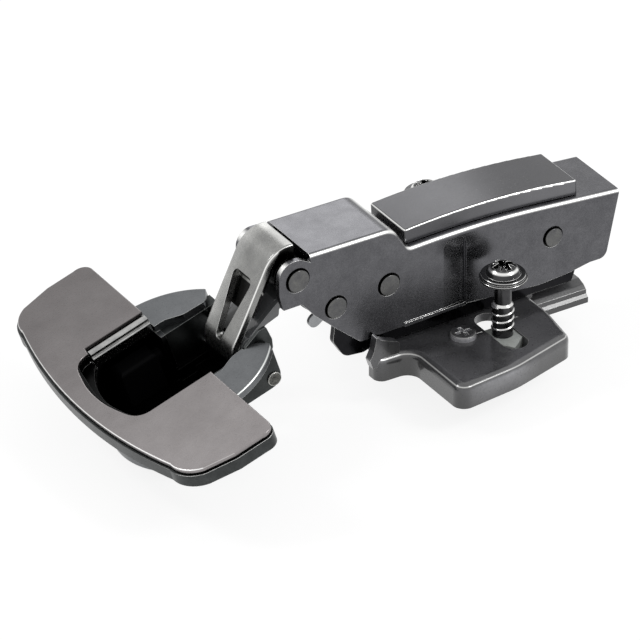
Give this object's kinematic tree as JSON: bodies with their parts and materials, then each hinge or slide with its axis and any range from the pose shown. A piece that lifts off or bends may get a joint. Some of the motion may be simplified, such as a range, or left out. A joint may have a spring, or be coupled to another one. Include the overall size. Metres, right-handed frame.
{
  "type": "concealed cup hinge",
  "caption": "Concealed cup hinge for a cabinet door: winged cup, strap and inner link, channel arm with cover cap, cross mounting plate with sliding screws.",
  "frame": {"origin": "cabinet face under the plate, on the arm's centre plane and the line of the screw slots", "axes": "+X along the arm to its rear end, away from the door cup; +Y across the arm; +Z out of the cabinet face"},
  "size_m": [0.1144, 0.0694, 0.0375],
  "materials": {
    "wing_metal": "satin dark grey plate",
    "cup_metal": "dark plated pressed steel",
    "arm_metal": "fine-grained dark grey plate",
    "strap_metal": "satin light dark-grey plate",
    "cap_metal": "smooth dark grey",
    "plate_metal": "glossy black plate",
    "screw_metal": "glossy black plate",
    "pin_metal": "dark burnished steel",
    "slider_metal": "dull light grey die-cast",
    "spring_steel": "bare spring steel",
    "damper_plastic": "black moulding"
  },
  "bodies": {
    "plate": {"mounting_plate": "plate_metal"},
    "height_cam": {"height_cam": "plate_metal"},
    "slider_near": {"slider_near": "slider_metal"},
    "slider_far": {"slider_far": "slider_metal"},
    "screw_near": {"fixing_screw_near": "screw_metal"},
    "screw_far": {"fixing_screw_far": "screw_metal"},
    "adapter": {"clip_adapter": "plate_metal"},
    "depth_cam": {"depth_cam": "screw_metal"},
    "arm": {"arm": "arm_metal", "strap_pin": "pin_metal", "link_pin": "pin_metal", "adapter_pin": "pin_metal", "latch_pin": "pin_metal", "spring_leg": "spring_steel"},
    "overlay_screw": {"overlay_screw": "screw_metal"},
    "latch": {"release_latch": "cup_metal"},
    "cap": {"cover_cap": "cap_metal"},
    "strap": {"strap_link": "strap_metal"},
    "link": {"inner_link": "cup_metal", "link_end_pin": "pin_metal"},
    "cup": {"cup_pot": "cup_metal", "wing_body": "cup_metal", "wing_cover": "wing_metal", "mouth_rail_near": "cup_metal", "mouth_rail_far": "cup_metal", "wing_peg_near": "damper_plastic", "wing_peg_far": "damper_plastic", "pivot_ear_near": "cup_metal", "pivot_ear_far": "cup_metal", "ear_rivet_near": "pin_metal", "ear_rivet_far": "pin_metal", "cup_pin": "pin_metal", "damper_body": "damper_plastic"},
    "plunger": {"damper_plunger": "pin_metal"}
  },
  "joints": [
    {"name": "height_cam_turn", "type": "hinge", "parent": "plate", "child": "height_cam", "pos_m": [-0.0071, -0.0115, 0.0032], "axis": [0, 0, 1], "range_deg": [-90, 90]},
    {"name": "slider_near_slide", "type": "slide", "parent": "plate", "child": "slider_near", "axis": [0, 1, 0], "range_m": [-0.0007, 0.0012]},
    {"name": "slider_far_slide", "type": "slide", "parent": "plate", "child": "slider_far", "axis": [0, 1, 0], "range_m": [0, 0.0007]},
    {"name": "screw_near_turn", "type": "hinge", "parent": "slider_near", "child": "screw_near", "pos_m": [0, -0.01415, 0.009], "axis": [0, 0, 1], "range_deg": [-180, 180]},
    {"name": "screw_far_turn", "type": "hinge", "parent": "slider_far", "child": "screw_far", "pos_m": [0, 0.0127, 0.013], "axis": [0, 0, 1], "range_deg": [-180, 180]},
    {"name": "depth_slide", "type": "slide", "parent": "plate", "child": "adapter", "axis": [1, 0, 0], "range_m": [-0.001, 0.001]},
    {"name": "depth_cam_turn", "type": "hinge", "parent": "adapter", "child": "depth_cam", "pos_m": [0.0055, 0, 0.012], "axis": [0, 0, 1], "range_deg": [-90, 90]},
    {"name": "overlay_tilt", "type": "hinge", "parent": "adapter", "child": "arm", "pos_m": [-0.0213, 0, 0.0188], "axis": [0, 1, 0], "range_deg": [-1, 1]},
    {"name": "overlay_screw_turn", "type": "hinge", "parent": "arm", "child": "overlay_screw", "pos_m": [-0.0095, 0, 0.02], "axis": [0, 0, 1], "range_deg": [-180, 180]},
    {"name": "latch_turn", "type": "hinge", "parent": "arm", "child": "latch", "pos_m": [0.0154, 0, 0.0177], "axis": [0, 1, 0], "range_deg": [0, 12], "stiffness_Nm_per_rad": 0.05},
    {"name": "cap_lift", "type": "slide", "parent": "arm", "child": "cap", "axis": [0, 0, 1], "range_m": [0, 0.012]},
    {"name": "strap_turn", "type": "hinge", "parent": "arm", "child": "strap", "pos_m": [-0.04126, 0, 0.02599], "axis": [0, 1, 0], "range_deg": [0, 10.8]},
    {"name": "link_turn", "type": "hinge", "parent": "arm", "child": "link", "pos_m": [-0.03293, 0, 0.01758], "axis": [0, 1, 0], "range_deg": [-18.4, 0]},
    {"name": "door_fold", "type": "hinge", "parent": "strap", "child": "cup", "pos_m": [-0.05115, 0, 0.0075], "axis": [0, 1, 0], "range_deg": [0, 97.39]},
    {"name": "damper_stroke", "type": "slide", "parent": "cup", "child": "plunger", "axis": [-0.9511, 0, -0.309], "range_m": [0, 0.0012], "stiffness_N_per_m": 60}
  ],
  "couplings": [
    {"joint": "strap_turn", "follows": "door_fold", "ratio": 0.109},
    {"joint": "link_turn", "follows": "door_fold", "ratio": -0.186}
  ]
}
